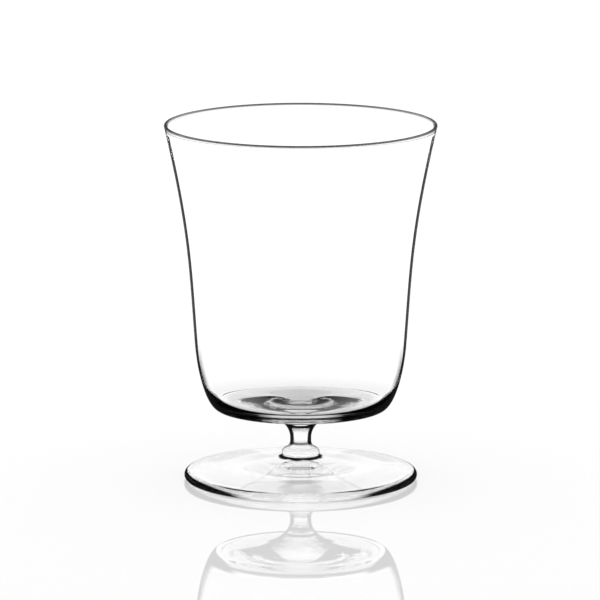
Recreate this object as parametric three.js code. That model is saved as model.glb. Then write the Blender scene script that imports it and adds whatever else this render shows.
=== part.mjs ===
// A punch glass in clear blown glass: a flared bowl on a short knopped stem and a round foot.
// Three pieces welded hot, each turned about the Z axis. Millimetres, +Z up, standing on z = 0.
import * as THREE from "three";

const { degToRad } = THREE.MathUtils;

// Driving dimensions of the foot
const FOOT_RADIUS = 35.7;
const FOOT_HEIGHT = 7.2; // table to the seat that carries the stem
const FOOT_EDGE_RADIUS = 1.3; // bullnose round the edge
const FOOT_EDGE_SLOPE = degToRad(7); // fall of the top where it meets the edge
const FOOT_SEAT_SLOPE = degToRad(23); // fall of the top where it leaves the seat
const FOOT_EDGE_PULL = 0.48; // how far each slope carries, as a share of the top's width
const FOOT_SEAT_PULL = 0.14;
const RESTING_RING_WIDTH = 2.2; // flat ring that touches the table
const KICK_HEIGHT = 2.2; // hollow under the middle of the foot

// Driving dimensions of the stem
const KNOP_RADIUS = 5.8;
const KNOP_ROLL_RADIUS = 1.75; // round of the knop's side
const KNOP_RISE = 0.85; // foot's seat to the widest part of the knop
const FILLET_RADIUS = 2.1; // hollow between the knop and the neck
const NECK_RADIUS = 3.22;
const NECK_LENGTH = 1; // straight part of the neck
const SWEEP_RADIUS = 6; // hollow from the neck out to the weld under the bowl
const SWEEP_TURN = degToRad(42); // how far that hollow turns before the weld

// Driving dimensions of the bowl
const HEIGHT = 110; // table to the top of the rim
const RIM_RADIUS = 41.6; // outside of the lip
const RIM_FLARE = degToRad(12.8); // lean of the wall at the rim
const RIM_PULL = 0.486; // how far the flare carries, as a share of the wall's height
const WALL = 0.85;
const LIP_BEAD = 0.12; // how far the fire-polished lip stands proud of each side of the wall
const WAIST_RADIUS = 32.4; // outside of the wall where the heel begins
const WAIST_RISE = 20.7; // underside to waist
const WAIST_LEAN = degToRad(4.2);
const WAIST_PULL = 0.355;
const UNDERSIDE_RISE = 5.34; // weld to the level edge of the underside
const UNDERSIDE_RADIUS = 25.3; // where that edge turns into the heel
const UNDERSIDE_PULL = 9; // how far the level edge and the sweep carry towards each other
const SWEEP_PULL = 6.5;
const HEEL_DROP = 0.555; // fullness of the heel, as shares of its height and width
const HEEL_REACH = 0.42;
const FLOOR_THICKNESS = 1.96; // glass between the level edge and the edge of the floor inside
const FLOOR_RADIUS = 23.5; // where the floor turns up into the inside heel
const FLOOR_DROP = 0.67; // fullness of the inside heel, as shares of its height and width
const FLOOR_REACH = 0.55;
const FLOOR_DOME = 2.4; // rise of the floor over the stem
const FLOOR_PULL = 0.35; // how far the floor stays level at its edge and its top, as shares of its radius
const DOME_PULL = 0.4;

// Fineness of the turned surfaces
const SEGMENTS = 48;
const LONG_STEPS = 12;
const ROUND_STEPS = 8;

// Sizes that follow from the driving dimensions
const at = (radius, z) => new THREE.Vector2(radius, z);
const knopTuck = Math.asin(KNOP_RISE / KNOP_ROLL_RADIUS); // how far the round turns under to meet the foot
const knopCentre = at(KNOP_RADIUS - KNOP_ROLL_RADIUS, FOOT_HEIGHT + KNOP_RISE);
const seat = at(knopCentre.x + KNOP_ROLL_RADIUS * Math.cos(knopTuck), FOOT_HEIGHT);
const filletOut = NECK_RADIUS + FILLET_RADIUS - knopCentre.x;
const filletUp = Math.sqrt((KNOP_ROLL_RADIUS + FILLET_RADIUS) ** 2 - filletOut ** 2);
const filletTurn = Math.atan2(filletUp, filletOut); // where the knop's round runs into the hollow
const filletCentre = at(knopCentre.x + filletOut, knopCentre.y + filletUp);
const sweepCentre = at(NECK_RADIUS + SWEEP_RADIUS, filletCentre.y + NECK_LENGTH);
const collar = at(
  sweepCentre.x - SWEEP_RADIUS * Math.cos(SWEEP_TURN),
  sweepCentre.y + SWEEP_RADIUS * Math.sin(SWEEP_TURN),
);
const underside = at(UNDERSIDE_RADIUS, collar.y + UNDERSIDE_RISE);
const waistZ = underside.y + WAIST_RISE;
const lipRadius = WALL / 2 + LIP_BEAD;
const lipCentreRadius = RIM_RADIUS - lipRadius;
const lipCentreZ = HEIGHT - lipRadius;
const lipJoin = Math.acos(WALL / 2 / lipRadius); // where the bead runs into the wall, below its middle
const wallTopRadius = lipCentreRadius + WALL / 2;
const wallTopZ = lipCentreZ - lipRadius * Math.sin(lipJoin);
const floor = at(FLOOR_RADIUS, underside.y + FLOOR_THICKNESS);
const dome = at(0, floor.y + FLOOR_DOME);

function line(from, to) {
  return [new THREE.LineCurve(from, to), 1];
}

function arc(centre, radius, start, end) {
  const clockwise = end < start;
  return [new THREE.EllipseCurve(centre.x, centre.y, radius, radius, start, end, clockwise), ROUND_STEPS];
}

function bend(from, leave, arrive, to) {
  return [new THREE.CubicBezierCurve(from, leave, arrive, to), LONG_STEPS];
}

// Turns an outline about the Z axis. It runs outwards underneath, up the outside and back to the axis.
function turned(stretches) {
  const points = stretches.flatMap(([curve, steps], index) => curve.getPoints(steps).slice(index ? 1 : 0));
  return new THREE.LatheGeometry(points, SEGMENTS).rotateX(Math.PI / 2);
}

function clearGlass() {
  return new THREE.MeshStandardMaterial({
    color: 0xf3f5f5,
    roughness: 0.02,
    metalness: 0,
    transparent: true,
    opacity: 0.35,
  });
}

// Foot: hollow underside, flat resting ring, bullnose edge and a top that climbs to the stem's seat
function footGeometry() {
  const edgeCentre = at(FOOT_RADIUS - FOOT_EDGE_RADIUS, FOOT_EDGE_RADIUS);
  const ringOuter = at(edgeCentre.x, 0);
  const ringInner = at(edgeCentre.x - RESTING_RING_WIDTH, 0);
  const hollow = at(0, KICK_HEIGHT);
  const hollowTurn = at(ringInner.x / 2, KICK_HEIGHT);
  const edgeTop = edgeCentre
    .clone()
    .add(at(FOOT_EDGE_RADIUS * Math.sin(FOOT_EDGE_SLOPE), FOOT_EDGE_RADIUS * Math.cos(FOOT_EDGE_SLOPE)));
  const edgePull = (edgeTop.x - seat.x) * FOOT_EDGE_PULL;
  const seatPull = (edgeTop.x - seat.x) * FOOT_SEAT_PULL;
  return turned([
    bend(hollow, hollowTurn, hollowTurn, ringInner),
    line(ringInner, ringOuter),
    arc(edgeCentre, FOOT_EDGE_RADIUS, -Math.PI / 2, Math.PI / 2 - FOOT_EDGE_SLOPE),
    bend(
      edgeTop,
      at(edgeTop.x - edgePull, edgeTop.y + edgePull * Math.tan(FOOT_EDGE_SLOPE)),
      at(seat.x + seatPull, seat.y - seatPull * Math.tan(FOOT_SEAT_SLOPE)),
      seat,
    ),
    line(seat, at(0, FOOT_HEIGHT)),
  ]);
}

// Stem: knop standing on the foot, hollow, neck and the sweep up to the weld under the bowl
function stemGeometry() {
  const neckLow = at(NECK_RADIUS, filletCentre.y);
  const neckHigh = at(NECK_RADIUS, sweepCentre.y);
  return turned([
    line(at(0, FOOT_HEIGHT), seat),
    arc(knopCentre, KNOP_ROLL_RADIUS, -knopTuck, filletTurn),
    arc(filletCentre, FILLET_RADIUS, filletTurn + Math.PI, Math.PI),
    line(neckLow, neckHigh),
    arc(sweepCentre, SWEEP_RADIUS, Math.PI, Math.PI - SWEEP_TURN),
    line(collar, at(0, collar.y)),
  ]);
}

// The wall's curve from the waist up to the rim, moved inwards for the inside face
function wallPoints(inset) {
  const wallHeight = wallTopZ - waistZ;
  const waist = at(WAIST_RADIUS - inset, waistZ);
  const rim = at(wallTopRadius - inset, wallTopZ);
  const waistPull = wallHeight * WAIST_PULL;
  const rimPull = wallHeight * RIM_PULL;
  return [
    waist,
    at(waist.x + waistPull * Math.tan(WAIST_LEAN), waist.y + waistPull),
    at(rim.x - rimPull * Math.tan(RIM_FLARE), rim.y - rimPull),
    rim,
  ];
}

// The curve from a level face out and up to the waist
function heelPoints(level, waist, drop, reach) {
  const fall = (waist.y - level.y) * drop;
  return [
    level,
    at(level.x + (waist.x - level.x) * reach, level.y),
    at(waist.x - fall * Math.tan(WAIST_LEAN), waist.y - fall),
    waist,
  ];
}

// Bowl: sweep carried on from the weld, level edge, heel, flared wall, beaded lip, and the same inside
function bowlGeometry() {
  const outside = wallPoints(0);
  const inside = wallPoints(WALL);
  const sweepEnd = at(
    collar.x + SWEEP_PULL * Math.sin(SWEEP_TURN),
    collar.y + SWEEP_PULL * Math.cos(SWEEP_TURN),
  );
  return turned([
    line(at(0, collar.y), collar),
    bend(collar, sweepEnd, at(underside.x - UNDERSIDE_PULL, underside.y), underside),
    bend(...heelPoints(underside, outside[0], HEEL_DROP, HEEL_REACH)),
    bend(...outside),
    arc(at(lipCentreRadius, lipCentreZ), lipRadius, -lipJoin, Math.PI + lipJoin),
    bend(...inside.toReversed()),
    bend(...heelPoints(floor, inside[0], FLOOR_DROP, FLOOR_REACH).toReversed()),
    bend(floor, at(floor.x * (1 - FLOOR_PULL), floor.y), at(floor.x * DOME_PULL, dome.y), dome),
  ]);
}

function piece(name, geometry) {
  const mesh = new THREE.Mesh(geometry, clearGlass());
  mesh.name = name;
  return mesh;
}

const punchGlass = new THREE.Group();
punchGlass.add(piece("bowl", bowlGeometry()));
punchGlass.add(piece("stem", stemGeometry()));
punchGlass.add(piece("foot", footGeometry()));

export default punchGlass;
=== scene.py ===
"""Looks for the punch glass: three turned pieces of clear blown glass on a pale table.

The bowl, stem and foot are rebuilt as fine turned surfaces that stand where the frame's pieces are.
Sizes are in metres, in the frame's own axes.
"""
import math

import bpy
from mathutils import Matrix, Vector


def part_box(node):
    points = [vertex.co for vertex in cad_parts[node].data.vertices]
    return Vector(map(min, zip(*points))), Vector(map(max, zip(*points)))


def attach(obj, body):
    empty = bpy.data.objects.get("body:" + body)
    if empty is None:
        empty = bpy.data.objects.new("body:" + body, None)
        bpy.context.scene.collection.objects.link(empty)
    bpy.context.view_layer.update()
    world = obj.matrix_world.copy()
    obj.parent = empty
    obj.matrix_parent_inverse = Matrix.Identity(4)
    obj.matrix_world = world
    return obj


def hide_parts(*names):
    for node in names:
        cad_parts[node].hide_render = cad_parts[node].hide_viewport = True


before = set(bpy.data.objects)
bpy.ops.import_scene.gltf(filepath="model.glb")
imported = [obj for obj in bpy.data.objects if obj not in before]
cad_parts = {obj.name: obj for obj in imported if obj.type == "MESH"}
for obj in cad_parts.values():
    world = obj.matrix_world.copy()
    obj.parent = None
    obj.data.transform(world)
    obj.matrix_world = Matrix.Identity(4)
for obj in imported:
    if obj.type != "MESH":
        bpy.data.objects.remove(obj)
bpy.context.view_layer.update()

MM = 0.001

# Sizes taken from the frame
FOOT_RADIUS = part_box("foot")[1].x
FOOT_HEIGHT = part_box("foot")[1].z
KNOP_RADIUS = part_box("stem")[1].x
RIM_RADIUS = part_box("bowl")[1].x
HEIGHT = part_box("bowl")[1].z

# Foot. A pull is how far a curve keeps its direction at one end: a size, or a share of its width or height.
FOOT_EDGE_RADIUS = 1.3 * MM
FOOT_EDGE_SLOPE = math.radians(7)
FOOT_SEAT_SLOPE = math.radians(23)
FOOT_EDGE_PULL = 0.48
FOOT_SEAT_PULL = 0.14
RESTING_RING_WIDTH = 2.2 * MM
KICK_HEIGHT = 2.2 * MM

# Stem
KNOP_ROLL_RADIUS = 1.75 * MM
KNOP_RISE = 0.85 * MM
NECK_RADIUS = 3.22 * MM
NECK_LENGTH = 1.0 * MM
FILLET_RADIUS = 2.1 * MM
SWEEP_RADIUS = 6 * MM
SWEEP_ON_STEM = math.radians(42)

# Bowl
RIM_FLARE = math.radians(12.8)
RIM_PULL = 0.486
WALL = 0.85 * MM
LIP_BEAD = 0.04 * MM
WAIST_RADIUS = 32.4 * MM
WAIST_Z = 42.74 * MM
WAIST_LEAN = math.radians(4.2)
WAIST_PULL = 0.355
UNDERSIDE_RADIUS = 25.3 * MM
UNDERSIDE_Z = 22.04 * MM
UNDERSIDE_PULL = 9 * MM
SWEEP_PULL = 6.5 * MM
HEEL_DROP = 0.555
HEEL_REACH = 0.42
FLOOR_Z = 24.0 * MM
FLOOR_RADIUS = 23.5 * MM
FLOOR_DROP = 0.67
FLOOR_REACH = 0.55
FLOOR_DOME = 2.4 * MM
FLOOR_PULL = 0.35
DOME_PULL = 0.4

# Sizes that follow
knop_tuck = math.asin(KNOP_RISE / KNOP_ROLL_RADIUS)
knop_centre = Vector((KNOP_RADIUS - KNOP_ROLL_RADIUS, FOOT_HEIGHT + KNOP_RISE))
seat_radius = knop_centre.x + KNOP_ROLL_RADIUS * math.cos(knop_tuck)
fillet_out = NECK_RADIUS + FILLET_RADIUS - knop_centre.x
fillet_up = math.sqrt((KNOP_ROLL_RADIUS + FILLET_RADIUS) ** 2 - fillet_out**2)
fillet_turn = math.atan2(fillet_up, fillet_out)
fillet_centre = knop_centre + Vector((fillet_out, fillet_up))
sweep_centre = Vector((NECK_RADIUS + SWEEP_RADIUS, fillet_centre.y + NECK_LENGTH))
collar_z = sweep_centre.y + SWEEP_RADIUS * math.sin(SWEEP_ON_STEM)
lip_radius = WALL / 2 + LIP_BEAD
lip_centre = Vector((RIM_RADIUS - lip_radius, HEIGHT - lip_radius))
lip_join = math.acos(WALL / 2 / lip_radius)
wall_top_radius = lip_centre.x + WALL / 2
wall_top_z = lip_centre.y - lip_radius * math.sin(lip_join)

# Fineness of the turned surfaces
SEGMENTS = 256
LONG_STEPS = 56
ROUND_STEPS = 24
RING_STEPS = 6
ON_AXIS = 1e-9

# Material slots of a piece
GLASS_SLOT = 0
WELD_SLOT = 1

# Glass
GLASS_IOR = 1.5
# The blend at which Layer Weight's Facing is 1 less the cosine of the viewing angle
COSINE_BLEND = 0.5
# How much of its downward lean a face gets back, because the photograph looks down on it
LEAN_BACK = 0.186
# Faces that look towards this point are the inside of the bowl, with a soft change between these depths
HOLLOW_CENTRE = (0, 0, 70 * MM)
HOLLOW_DEPTHS = (-1 * MM, 1 * MM)

# Look of the bowl. Its shades are painted shade: darkening that stands in for the dark surroundings and
# shaded table seen in the glass. A pair is the start and end of a change, and a shade is the share of light
# that passes.
LIP_HEIGHTS = (HEIGHT - 0.62 * MM, HEIGHT - 0.48 * MM)
LIP_SHADE = 0.16
LIP_SIDE_HEIGHTS = (HEIGHT - 1.9 * MM, HEIGHT - 1.6 * MM)
LIP_SIDE_TURNS = (0.84, 0.88)
LIP_SIDE_SHADE = 0.3
HEEL_HEIGHTS = (36 * MM, 42 * MM)
FLANK_RISE_SHARE = 0.5
FLANK_LEANS = (0.77, 0.93)
FLANK_HEIGHTS = (27 * MM, 36 * MM)
FLANK_SHADES = (0.02, 0.35)
UNDER_RISES = (-0.47, -0.42)
UNDER_SIDES = (0.85, 0.94)
UNDER_SHADE = 0.01
HEEL_LINE_RISE = -0.54
HEEL_LINE_REACH = (0.02, 0.05)
HEEL_LINE_SHADE = 0.05
INSIDE_HEIGHTS = (28 * MM, 30 * MM)
INSIDE_TURNS = (0.7, 0.83)
INSIDE_SHADE = 0.5
FLOOR_HEIGHTS = (26.5 * MM, 27.5 * MM)
POOL_EDGE_RADII = (22 * MM, 24 * MM)
POOL_RADII = (10 * MM, 17 * MM)
POOL_SHADES = (0.82, 0.7)

# Light that the bowl's inner reflections lose
LEAST_LOSS = 0.03
UNDER_RADII = (16 * MM, 17 * MM)
UNDER_LOSS_TURNS = (0.36, 0.46)
WALL_LOSS_TURNS = (0.43, 0.53)
HEEL_LOSS_TURNS = (0.49, 0.59)
STEEP_SLOPES = (0.65, 0.75)
EYE_RADII = (8 * MM, 10 * MM)
EYE_HEIGHTS = (21 * MM, 21.6 * MM)
EYE_NEAR_TURNS = (0.34, 0.38)
EYE_FAR_TURNS = (0.42, 0.46)
EYE_RING_LOSS = 0.1
MIDDLE_RADII = (8 * MM, 20 * MM)
MIDDLE_LOSS = 0.95
LEVEL_SLOPES = (0.85, 0.95)
HOLLOW_SLOPES = (0.2, 0.4)
LIP_LOSS_HEIGHTS = (HEIGHT - 1.3 * MM, HEIGHT - 1 * MM)

# Gloss that the bowl goes without
OUTSIDE_DULL_HEIGHTS = (36 * MM, 46 * MM)
OUTSIDE_DULLS = (0.97, 0.86)
POOL_DULL_RADII = (9 * MM, 18 * MM)
POOL_DULLS = (0.98, 0.45)
INSIDE_DULL_HEIGHTS = (27 * MM, 32 * MM)
INSIDE_DULL = 0.5

# Painted shade at the collar, where bowl and stem meet: a dark band
COLLAR_BAND_Z = 16.9 * MM
COLLAR_BAND_REACH = (0.3 * MM, 0.5 * MM)
COLLAR_BAND_SHADE = 0.005

# Look of the stem, with painted shade on the sides of the neck and knop and in dark bands
NECK_HEIGHTS = (9.8 * MM, 11 * MM)
NECK_SIDES = (0.71, 0.79)
NECK_SHADE = 0.003
NECK_LOSS = 0.3
NECK_BAND_Z = 11.2 * MM
NECK_BAND_REACH = (0.15 * MM, 0.45 * MM)
NECK_BAND_SHADE = 0.3
KNOP_TURNS = (0.62, 0.82)
KNOP_SHADE = 0.15
KNOP_LOSS = 0.05
KNOP_SEAM_HEIGHTS = (FOOT_HEIGHT + 0.1 * MM, FOOT_HEIGHT + 0.4 * MM)
KNOP_SEAM_SHADE = 0.02
STEM_DULL = 0.93

# Look of the foot, with painted shade on the sides of the rounded edge and in a dark crease round the knop
EDGE_RADII = (FOOT_RADIUS - 1.1 * MM, FOOT_RADIUS - 0.8 * MM)
EDGE_SIDES = (0.76, 0.86)
EDGE_SHADE = 0.01
EDGE_DULL_RADII = (FOOT_RADIUS - 1.3 * MM, FOOT_RADIUS - 0.9 * MM)
EDGE_DULL = 0.97
SEAM_RADII = (6.5 * MM, 7.1 * MM)
SEAM_SHADE = 0.01
SEAM_WANDER = 0.5 * MM
SEAM_NOISE_SCALE = 420
SEAM_NOISE_DETAIL = 3
SEAM_NOISE_LEVELS = (0.3, 0.7)
SEAM_DULL_RADII = (6.5 * MM, 7.5 * MM)
SEAM_DULLS = (1, 0.5)
FOOT_LOSS = 0.006

# Table and studio
WHITE = (1, 1, 1, 1)
TABLE_SIZE = 12.0
TABLE_GAP = 0.2 * MM
TABLE_GREY = 0.4
TABLE_ROUGHNESS = 0.012
TABLE_IOR = 1.55
TABLE_GLOW = 0.41
TABLE_GLOW_THROUGH_GLASS = 0.47

# Camera
VIEW_ELEVATION = math.radians(10.725)
VIEW_DISTANCE = 2.0
FOCAL_PIXELS = 6547
IMAGE_PIXELS = 600
PIXEL = VIEW_DISTANCE / FOCAL_PIXELS
AIM_Z = 55.38 * MM
AIM_PIXELS_LEFT = 0.7
AIM_PIXELS_UP = 0.5
SENSOR_WIDTH_MM = 36
CLIP_NEAR = 0.01
CLIP_FAR = 100
LIGHT_BOUNCES = 32
GLOSSY_BOUNCES = 16


def line(start, end, steps):
    """Points on a straight stretch of an outline."""
    return [start.lerp(end, i / steps) for i in range(steps + 1)]


def arc(centre, radius, start, end):
    """Points on a round stretch of an outline."""
    angles = [start + (end - start) * i / ROUND_STEPS for i in range(ROUND_STEPS + 1)]
    return [centre + radius * Vector((math.cos(a), math.sin(a))) for a in angles]


def bend(start, leave, arrive, end):
    """Points on a smooth curve that leaves start towards leave and reaches end from arrive."""
    points = []
    for i in range(LONG_STEPS + 1):
        t = i / LONG_STEPS
        s = 1 - t
        points.append(s**3 * start + 3 * s * s * t * leave + 3 * s * t * t * arrive + t**3 * end)
    return points


def outline(*stretches):
    """Joins stretches end to end, without doubling the points where they meet."""
    points = list(stretches[0])
    for stretch in stretches[1:]:
        points.extend(stretch[1:])
    return points


def foot_outline():
    """The foot's side, from the axis below to the seat, and its weld face."""
    edge_centre = Vector((FOOT_RADIUS - FOOT_EDGE_RADIUS, FOOT_EDGE_RADIUS))
    ring_outer = Vector((edge_centre.x, 0))
    ring_inner = Vector((edge_centre.x - RESTING_RING_WIDTH, 0))
    kick = Vector((0, KICK_HEIGHT))
    kick_turn = Vector((ring_inner.x / 2, KICK_HEIGHT))
    slope = Vector((math.sin(FOOT_EDGE_SLOPE), math.cos(FOOT_EDGE_SLOPE)))
    edge_top = edge_centre + FOOT_EDGE_RADIUS * slope
    seat = Vector((seat_radius, FOOT_HEIGHT))
    edge_pull = (edge_top.x - seat.x) * FOOT_EDGE_PULL
    seat_pull = (edge_top.x - seat.x) * FOOT_SEAT_PULL
    side = outline(
        bend(kick, kick_turn, kick_turn, ring_inner),
        line(ring_inner, ring_outer, RING_STEPS),
        arc(edge_centre, FOOT_EDGE_RADIUS, -math.pi / 2, math.pi / 2 - FOOT_EDGE_SLOPE),
        bend(
            edge_top,
            edge_top + edge_pull * Vector((-1, math.tan(FOOT_EDGE_SLOPE))),
            seat + seat_pull * Vector((1, -math.tan(FOOT_SEAT_SLOPE))),
            seat,
        ),
    )
    return side, [seat, Vector((0, FOOT_HEIGHT))]


def stem_outline():
    """The stem's side, from the foot up, and its lower and upper weld faces."""
    seat = Vector((seat_radius, FOOT_HEIGHT))
    side = outline(
        arc(knop_centre, KNOP_ROLL_RADIUS, -knop_tuck, fillet_turn),
        arc(fillet_centre, FILLET_RADIUS, fillet_turn + math.pi, math.pi),
        arc(sweep_centre, SWEEP_RADIUS, math.pi, math.pi - SWEEP_ON_STEM),
    )
    return side, [Vector((0, FOOT_HEIGHT)), seat], [side[-1], Vector((0, collar_z))]


def wall_points(inset):
    """The curve of the wall, from the waist up to the rim."""
    height = wall_top_z - WAIST_Z
    waist = Vector((WAIST_RADIUS - inset, WAIST_Z))
    rim = Vector((wall_top_radius - inset, wall_top_z))
    return [
        waist,
        waist + height * WAIST_PULL * Vector((math.tan(WAIST_LEAN), 1)),
        rim - height * RIM_PULL * Vector((math.tan(RIM_FLARE), 1)),
        rim,
    ]


def heel_points(level, waist, drop, reach):
    """The curve of the heel, from a level stretch out and up to the waist."""
    fall = (waist.y - level.y) * drop
    return [
        level,
        level + Vector(((waist.x - level.x) * reach, 0)),
        waist - fall * Vector((math.tan(WAIST_LEAN), 1)),
        waist,
    ]


def bowl_outline():
    """The bowl's side, from the collar over the lip to the middle of the floor, and its weld face."""
    outside = wall_points(0)
    inside = wall_points(WALL)
    underside = Vector((UNDERSIDE_RADIUS, UNDERSIDE_Z))
    floor = Vector((FLOOR_RADIUS, FLOOR_Z))
    dome = Vector((0, FLOOR_Z + FLOOR_DOME))
    collar = sweep_centre + SWEEP_RADIUS * Vector((-math.cos(SWEEP_ON_STEM), math.sin(SWEEP_ON_STEM)))
    sweep = Vector((math.sin(SWEEP_ON_STEM), math.cos(SWEEP_ON_STEM)))
    side = outline(
        bend(collar, collar + SWEEP_PULL * sweep, underside - Vector((UNDERSIDE_PULL, 0)), underside),
        bend(*heel_points(underside, outside[0], HEEL_DROP, HEEL_REACH)),
        bend(*outside),
        arc(lip_centre, lip_radius, -lip_join, math.pi + lip_join),
        bend(*reversed(inside)),
        bend(*reversed(heel_points(floor, inside[0], FLOOR_DROP, FLOOR_REACH))),
        bend(
            floor,
            floor - Vector((FLOOR_RADIUS * FLOOR_PULL, 0)),
            dome + Vector((FLOOR_RADIUS * DOME_PULL, 0)),
            dome,
        ),
    )
    return side, [Vector((0, collar_z)), side[0]]


def turned(name, side, weld_below=None, weld_above=None):
    """A closed turned piece, with its side and its weld faces in separate material slots."""
    profile, bands = [], []
    for points, slot in ((weld_below, WELD_SLOT), (side, GLASS_SLOT), (weld_above, WELD_SLOT)):
        if points is not None:
            bands.extend([slot] * (len(points) - 1))
            profile.extend(points[1:] if profile else points)
    vertices, rings = [], []
    for point in profile:
        if point.x < ON_AXIS:
            rings.append([len(vertices)])
            vertices.append((0, 0, point.y))
            continue
        rings.append(list(range(len(vertices), len(vertices) + SEGMENTS)))
        for i in range(SEGMENTS):
            angle = 2 * math.pi * i / SEGMENTS
            vertices.append((point.x * math.cos(angle), point.x * math.sin(angle), point.y))
    faces, slots = [], []
    for low, high, slot in zip(rings, rings[1:], bands):
        for i in range(SEGMENTS):
            j = (i + 1) % SEGMENTS
            if len(low) == 1:
                face = (low[0], high[j], high[i])
            elif len(high) == 1:
                face = (low[i], low[j], high[0])
            else:
                face = (low[i], low[j], high[j], high[i])
            faces.append(face)
            slots.append(slot)
    mesh = bpy.data.meshes.new(name)
    mesh.from_pydata(vertices, [], faces)
    mesh.polygons.foreach_set("material_index", slots)
    mesh.polygons.foreach_set("use_smooth", [slot == GLASS_SLOT for slot in slots])
    mesh.update()
    piece = bpy.data.objects.new(name, mesh)
    bpy.context.scene.collection.objects.link(piece)
    return piece


class Shading:
    """A node material that is being made. Its nodes take sockets or plain numbers."""

    def __init__(self, name):
        self.material = bpy.data.materials.new(name)
        self.material.use_nodes = True
        self.tree = self.material.node_tree
        self.tree.nodes.clear()
        self.surface = self.node("ShaderNodeOutputMaterial").inputs["Surface"]

    def node(self, kind):
        return self.tree.nodes.new(kind)

    def feed(self, socket, value):
        if isinstance(value, (int, float)):
            socket.default_value = value
        else:
            self.tree.links.new(value, socket)

    def math(self, operation, *values):
        node = self.node("ShaderNodeMath")
        node.operation = operation
        for socket, value in zip(node.inputs, values):
            self.feed(socket, value)
        return node.outputs["Value"]

    def times(self, first, second):
        return self.math("MULTIPLY", first, second)

    def rest(self, share):
        """What a share leaves of 1."""
        return self.math("SUBTRACT", 1, share)

    def apart(self, value, place):
        """How far a value is from a place, on either side."""
        return self.math("ABSOLUTE", self.math("SUBTRACT", value, place))

    def fade(self, value, span, first, last):
        """Goes from first to last while the value goes through the span."""
        node = self.node("ShaderNodeMapRange")
        self.feed(node.inputs["Value"], value)
        for name, number in zip(("From Min", "From Max", "To Min", "To Max"), (*span, first, last)):
            node.inputs[name].default_value = number
        return node.outputs["Result"]

    def between(self, share, first, last):
        """Goes from first to last while a share goes from 0 to 1."""
        node = self.node("ShaderNodeMix")
        for name, value in (("Factor", share), ("A", first), ("B", last)):
            self.feed(node.inputs[name], value)
        return node.outputs["Result"]

    def vector(self, operation, first):
        node = self.node("ShaderNodeVectorMath")
        node.operation = operation
        self.tree.links.new(first, node.inputs[0])
        return node

    def upward(self, vector):
        """The upright part of a vector."""
        node = self.node("ShaderNodeSeparateXYZ")
        self.tree.links.new(vector, node.inputs["Vector"])
        return node.outputs["Z"]

    def level(self, vector):
        """The length of the level part of a vector."""
        flat = self.vector("MULTIPLY", vector)
        flat.inputs[1].default_value = (1, 1, 0)
        return self.vector("LENGTH", flat.outputs["Vector"]).outputs["Value"]


class Surface(Shading):
    """A material that knows the point it shades.

    height and radius are its place. rise is the upright part of the normal.
    turn is 0 on a face seen square on and 1 on one seen edge on.
    side goes the other way, from 1 to about 0, and leaves out most of the face's lean.
    inner is 1 where light strikes from inside the glass. hollow is 1 on the inside of the bowl.
    """

    def __init__(self, name):
        super().__init__(name)
        self.place = self.node("ShaderNodeTexCoord").outputs["Object"]
        self.height = self.upward(self.place)
        self.radius = self.level(self.place)
        geometry = self.node("ShaderNodeNewGeometry")
        self.normal = geometry.outputs["Normal"]
        self.inner = geometry.outputs["Backfacing"]
        weight = self.node("ShaderNodeLayerWeight")
        weight.inputs["Blend"].default_value = COSINE_BLEND
        self.turn = weight.outputs["Facing"]
        self.rise = self.upward(self.normal)
        lean = self.times(self.math("MINIMUM", self.rise, 0), LEAN_BACK)
        upright = self.math("SUBTRACT", self.rest(self.turn), lean)
        self.side = self.math("DIVIDE", upright, self.level(self.normal))
        self.hollow = self.hollow_side()

    def hollow_side(self):
        away = self.vector("SUBTRACT", self.place)
        away.inputs[1].default_value = HOLLOW_CENTRE
        depth = self.vector("DOT_PRODUCT", away.outputs["Vector"])
        self.tree.links.new(self.normal, depth.inputs[1])
        facing = self.fade(depth.outputs["Value"], HOLLOW_DEPTHS, 1, 0)
        return self.between(self.inner, facing, self.rest(facing))

    def noise(self, scale, detail):
        node = self.node("ShaderNodeTexNoise")
        self.tree.links.new(self.place, node.inputs["Vector"])
        node.inputs["Scale"].default_value = scale
        node.inputs["Detail"].default_value = detail
        return node.outputs["Fac"]


def glass(point, painted_shade, loss, dull):
    """Finishes a glass material.

    The painted shade is the share of what passes, darkened to stand in for the dark surroundings seen in the
    glass;
    loss is the share of the inner reflections that goes dark, and dull the share of the outer gloss that is
    left out.
    """
    whole = point.node("ShaderNodeBsdfPrincipled")
    whole.inputs["Transmission Weight"].default_value = 1
    passing = point.node("ShaderNodeBsdfRefraction")
    for shader in (whole, passing):
        shader.inputs["IOR"].default_value = GLASS_IOR
        shader.inputs["Roughness"].default_value = 0
    colour = point.node("ShaderNodeCombineColor")
    for channel in colour.inputs:
        point.tree.links.new(painted_shade, channel)
    point.tree.links.new(colour.outputs["Color"], whole.inputs["Base Color"])
    point.tree.links.new(colour.outputs["Color"], passing.inputs["Color"])
    mix = point.node("ShaderNodeMixShader")
    factor, first, second = mix.inputs
    point.feed(factor, point.between(point.inner, dull, loss))
    point.tree.links.new(whole.outputs["BSDF"], first)
    point.tree.links.new(passing.outputs["BSDF"], second)
    point.tree.links.new(mix.outputs["Shader"], point.surface)
    return point.material


def collar_shade_band(point):
    """Painted shade: a dark band where bowl and stem meet."""
    return point.fade(point.apart(point.height, COLLAR_BAND_Z), COLLAR_BAND_REACH, COLLAR_BAND_SHADE, 1)


def lip_painted_shade(point):
    """Painted shade: a dark lip, also at its two sides."""
    lip = point.fade(point.height, LIP_HEIGHTS, 1, LIP_SHADE)
    near = point.fade(point.height, LIP_SIDE_HEIGHTS, 0, 1)
    side = point.fade(point.turn, LIP_SIDE_TURNS, 1, LIP_SIDE_SHADE)
    return point.times(lip, point.between(near, 1, side))


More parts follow.
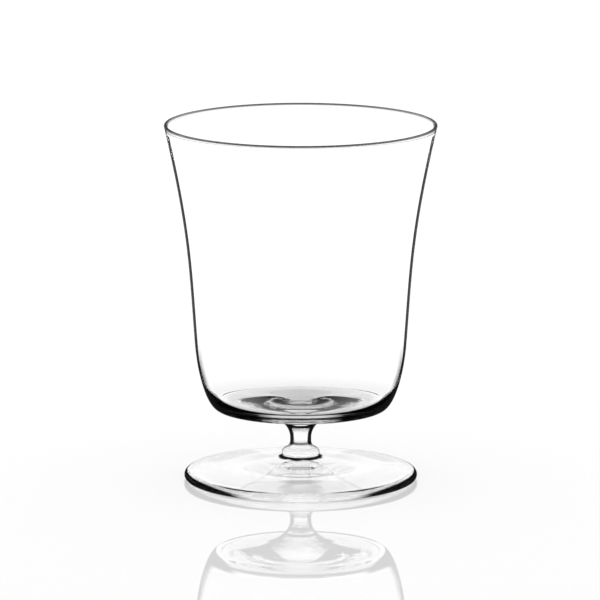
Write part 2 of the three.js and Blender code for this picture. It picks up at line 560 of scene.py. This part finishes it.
def heel_painted_shade(point):
    """Painted shade: dark flanks and underside of the heel, with the line under it, and the edges of its
    inside.
    """
    lean = point.math("SUBTRACT", point.turn, point.times(point.rise, FLANK_RISE_SHARE))
    dark = point.fade(point.height, FLANK_HEIGHTS, *FLANK_SHADES)
    flank = point.between(point.fade(lean, FLANK_LEANS, 0, 1), 1, dark)
    heel_shade_line = point.fade(point.apart(point.rise, HEEL_LINE_RISE), HEEL_LINE_REACH, HEEL_LINE_SHADE, 1)
    under = point.times(heel_shade_line, point.fade(point.side, UNDER_SIDES, UNDER_SHADE, 1))
    skin = point.between(point.fade(point.rise, UNDER_RISES, 1, 0), flank, under)
    outside = point.times(skin, collar_shade_band(point))
    edge = point.fade(point.turn, INSIDE_TURNS, 1, INSIDE_SHADE)
    inside = point.between(point.fade(point.height, INSIDE_HEIGHTS, 0, 1), 1, edge)
    heel = point.times(point.fade(point.height, HEEL_HEIGHTS, 1, 0), point.rest(point.inner))
    return point.between(heel, 1, point.between(point.hollow, outside, inside))


def pool_painted_shade(point):
    """Painted shade: a grey pool on the floor of the bowl."""
    grey = point.fade(point.radius, POOL_RADII, *POOL_SHADES)
    pool = point.between(point.fade(point.radius, POOL_EDGE_RADII, 0, 1), grey, 1)
    floor = point.times(point.fade(point.height, FLOOR_HEIGHTS, 1, 0), point.hollow)
    return point.between(floor, 1, pool)


def eye_loss(point):
    """Two dark rings with a light one between them."""
    near = point.fade(point.turn, EYE_NEAR_TURNS, 1, EYE_RING_LOSS)
    far = point.fade(point.turn, EYE_FAR_TURNS, EYE_RING_LOSS, 1)
    return point.math("MAXIMUM", far, near)


def bowl_loss(point):
    """Inner reflections go dark by how they strike, most of all in the wall, the heel and round the stem."""
    slope = point.math("ABSOLUTE", point.rise)
    beyond = point.fade(point.radius, UNDER_RADII, 0, 1)
    under = point.fade(point.turn, UNDER_LOSS_TURNS, 1, LEAST_LOSS)
    wall = point.fade(point.turn, WALL_LOSS_TURNS, 1, LEAST_LOSS)
    heel = point.fade(point.turn, HEEL_LOSS_TURNS, 1, LEAST_LOSS)
    low = point.fade(point.height, HEEL_HEIGHTS, 1, 0)
    steep = point.times(point.fade(slope, STEEP_SLOPES, 1, 0), low)
    eye = point.times(point.fade(point.radius, EYE_RADII, 1, 0), point.fade(point.height, EYE_HEIGHTS, 1, 0))
    around = point.between(steep, point.between(beyond, under, wall), heel)
    share = point.between(eye, around, eye_loss(point))
    middle = point.fade(point.radius, MIDDLE_RADII, MIDDLE_LOSS, 0)
    level = point.fade(slope, LEVEL_SLOPES, 0, 1)
    inside = point.times(point.fade(slope, HOLLOW_SLOPES, 0, 1), point.hollow)
    outer = point.rest(point.math("MAXIMUM", level, inside))
    lip = point.fade(point.height, LIP_LOSS_HEIGHTS, 1, 0)
    return point.times(share, point.times(point.between(beyond, middle, outer), lip))


def bowl_dull(point):
    """The middle of the floor is the dullest part of the inside, and the heel of the outside."""
    outside = point.fade(point.height, OUTSIDE_DULL_HEIGHTS, *OUTSIDE_DULLS)
    pool = point.fade(point.radius, POOL_DULL_RADII, *POOL_DULLS)
    inside = point.between(point.fade(point.height, INSIDE_DULL_HEIGHTS, 0, 1), pool, INSIDE_DULL)
    return point.between(point.hollow, outside, inside)


def bowl_glass():
    point = Surface("thin_glass")
    # The bowl's painted shade: its dark lip, dark heel and grey pool
    painted_shade = point.times(point.times(lip_painted_shade(point), heel_painted_shade(point)), pool_painted_shade(point))
    return glass(point, painted_shade, bowl_loss(point), bowl_dull(point))


def stem_painted_shade(point):
    """Painted shade: dark sides of the neck and knop, and dark bands at the seam, the foot of the neck and
    the collar.
    """
    neck = point.fade(point.side, NECK_SIDES, NECK_SHADE, 1)
    knop = point.fade(point.turn, KNOP_TURNS, 1, KNOP_SHADE)
    sides = point.between(point.fade(point.height, NECK_HEIGHTS, 0, 1), knop, neck)
    # Painted shade in a band at the seam above the foot
    seam = point.fade(point.height, KNOP_SEAM_HEIGHTS, KNOP_SEAM_SHADE, 1)
    neck_shade_band = point.fade(point.apart(point.height, NECK_BAND_Z), NECK_BAND_REACH, NECK_BAND_SHADE, 1)
    bands = point.times(seam, point.times(neck_shade_band, collar_shade_band(point)))
    return point.times(sides, point.between(point.inner, bands, 1))


def stem_glass():
    point = Surface("stem_glass")
    loss = point.fade(point.height, NECK_HEIGHTS, KNOP_LOSS, NECK_LOSS)
    return glass(point, stem_painted_shade(point), loss, STEM_DULL)


def foot_painted_shade(point):
    """Painted shade: dark sides of the rounded edge, and a dark crease round the knop that wanders a little.
    """
    side = point.fade(point.side, EDGE_SIDES, EDGE_SHADE, 1)
    edge = point.times(point.fade(point.radius, EDGE_RADII, 0, 1), point.rest(point.inner))
    noise = point.noise(SEAM_NOISE_SCALE, SEAM_NOISE_DETAIL)
    wander = point.fade(noise, SEAM_NOISE_LEVELS, -SEAM_WANDER, SEAM_WANDER)
    # Painted shade in the crease round the knop
    seam = point.fade(point.math("ADD", point.radius, wander), SEAM_RADII, SEAM_SHADE, 1)
    return point.times(point.between(edge, 1, side), point.between(point.inner, seam, 1))


def foot_glass():
    point = Surface("foot_glass")
    seam = point.fade(point.radius, SEAM_DULL_RADII, *SEAM_DULLS)
    edge = point.fade(point.radius, EDGE_DULL_RADII, 0, EDGE_DULL)
    return glass(point, foot_painted_shade(point), FOOT_LOSS, point.math("MAXIMUM", seam, edge))


def weld_face():
    """Lets light through unchanged where two pieces are one glass."""
    shading = Shading("weld")
    shading.tree.links.new(shading.node("ShaderNodeBsdfTransparent").outputs["BSDF"], shading.surface)
    return shading.material


def table_white():
    """A glossy table that looks white, straight on, mirrored or through glass."""
    shading = Shading("table_white")
    shader = shading.node("ShaderNodeBsdfPrincipled")
    shader.inputs["Base Color"].default_value = (TABLE_GREY, TABLE_GREY, TABLE_GREY, 1)
    shader.inputs["Roughness"].default_value = TABLE_ROUGHNESS
    shader.inputs["IOR"].default_value = TABLE_IOR
    shader.inputs["Emission Color"].default_value = WHITE
    path = shading.node("ShaderNodeLightPath")
    seen = shading.math("MAXIMUM", path.outputs["Is Camera Ray"], path.outputs["Is Glossy Ray"])
    through = shading.times(path.outputs["Is Transmission Ray"], TABLE_GLOW_THROUGH_GLASS)
    glow = shading.math("MAXIMUM", shading.times(seen, TABLE_GLOW), through)
    shading.tree.links.new(glow, shader.inputs["Emission Strength"])
    shading.tree.links.new(shader.outputs["BSDF"], shading.surface)
    return shading.material


# The three pieces
bowl_side, bowl_weld = bowl_outline()
stem_side, stem_low, stem_high = stem_outline()
foot_side, foot_weld = foot_outline()
weld = weld_face()
pieces = (
    ("bowl", turned("bowl_glass", bowl_side, weld_below=bowl_weld), bowl_glass()),
    ("stem", turned("stem_glass", stem_side, stem_low, stem_high), stem_glass()),
    ("foot", turned("foot_glass", foot_side, weld_above=foot_weld), foot_glass()),
)
for node, piece, material in pieces:
    piece.data.materials.append(material)
    piece.data.materials.append(weld)
    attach(piece, "root")
    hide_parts(node)

# Table
half = TABLE_SIZE / 2
corners = ((-half, -half), (half, -half), (half, half), (-half, half))
table_mesh = bpy.data.meshes.new("table")
table_mesh.from_pydata([(x, y, -TABLE_GAP) for x, y in corners], [], [(0, 1, 2, 3)])
table_mesh.materials.append(table_white())
table = bpy.data.objects.new("table", table_mesh)
bpy.context.scene.collection.objects.link(table)

# Studio: an even white dome
world = bpy.data.worlds.new("studio")
bpy.context.scene.world = world
world.use_nodes = True
world.node_tree.nodes.clear()
world_output = world.node_tree.nodes.new("ShaderNodeOutputWorld")
background = world.node_tree.nodes.new("ShaderNodeBackground")
background.inputs["Color"].default_value = WHITE
world.node_tree.links.new(background.outputs["Background"], world_output.inputs["Surface"])

# Camera
camera_data = bpy.data.cameras.new("camera")
camera_data.sensor_width = SENSOR_WIDTH_MM
camera_data.lens = SENSOR_WIDTH_MM * FOCAL_PIXELS / IMAGE_PIXELS
camera_data.clip_start = CLIP_NEAR
camera_data.clip_end = CLIP_FAR
camera = bpy.data.objects.new("camera", camera_data)
bpy.context.scene.collection.objects.link(camera)
aim = Vector((-AIM_PIXELS_LEFT * PIXEL, 0, AIM_Z + AIM_PIXELS_UP * PIXEL))
back = Vector((0, -math.cos(VIEW_ELEVATION), math.sin(VIEW_ELEVATION)))
camera.location = aim + VIEW_DISTANCE * back
camera.rotation_mode = "QUATERNION"
camera.rotation_quaternion = (-back).to_track_quat("-Z", "Y")
bpy.context.scene.camera = camera

# Rendering
bpy.context.scene.view_settings.view_transform = "Standard"
bpy.context.scene.cycles.max_bounces = LIGHT_BOUNCES
bpy.context.scene.cycles.transmission_bounces = LIGHT_BOUNCES
bpy.context.scene.cycles.glossy_bounces = GLOSSY_BOUNCES
bpy.context.scene.cycles.transparent_max_bounces = LIGHT_BOUNCES

bpy.context.view_layer.update()
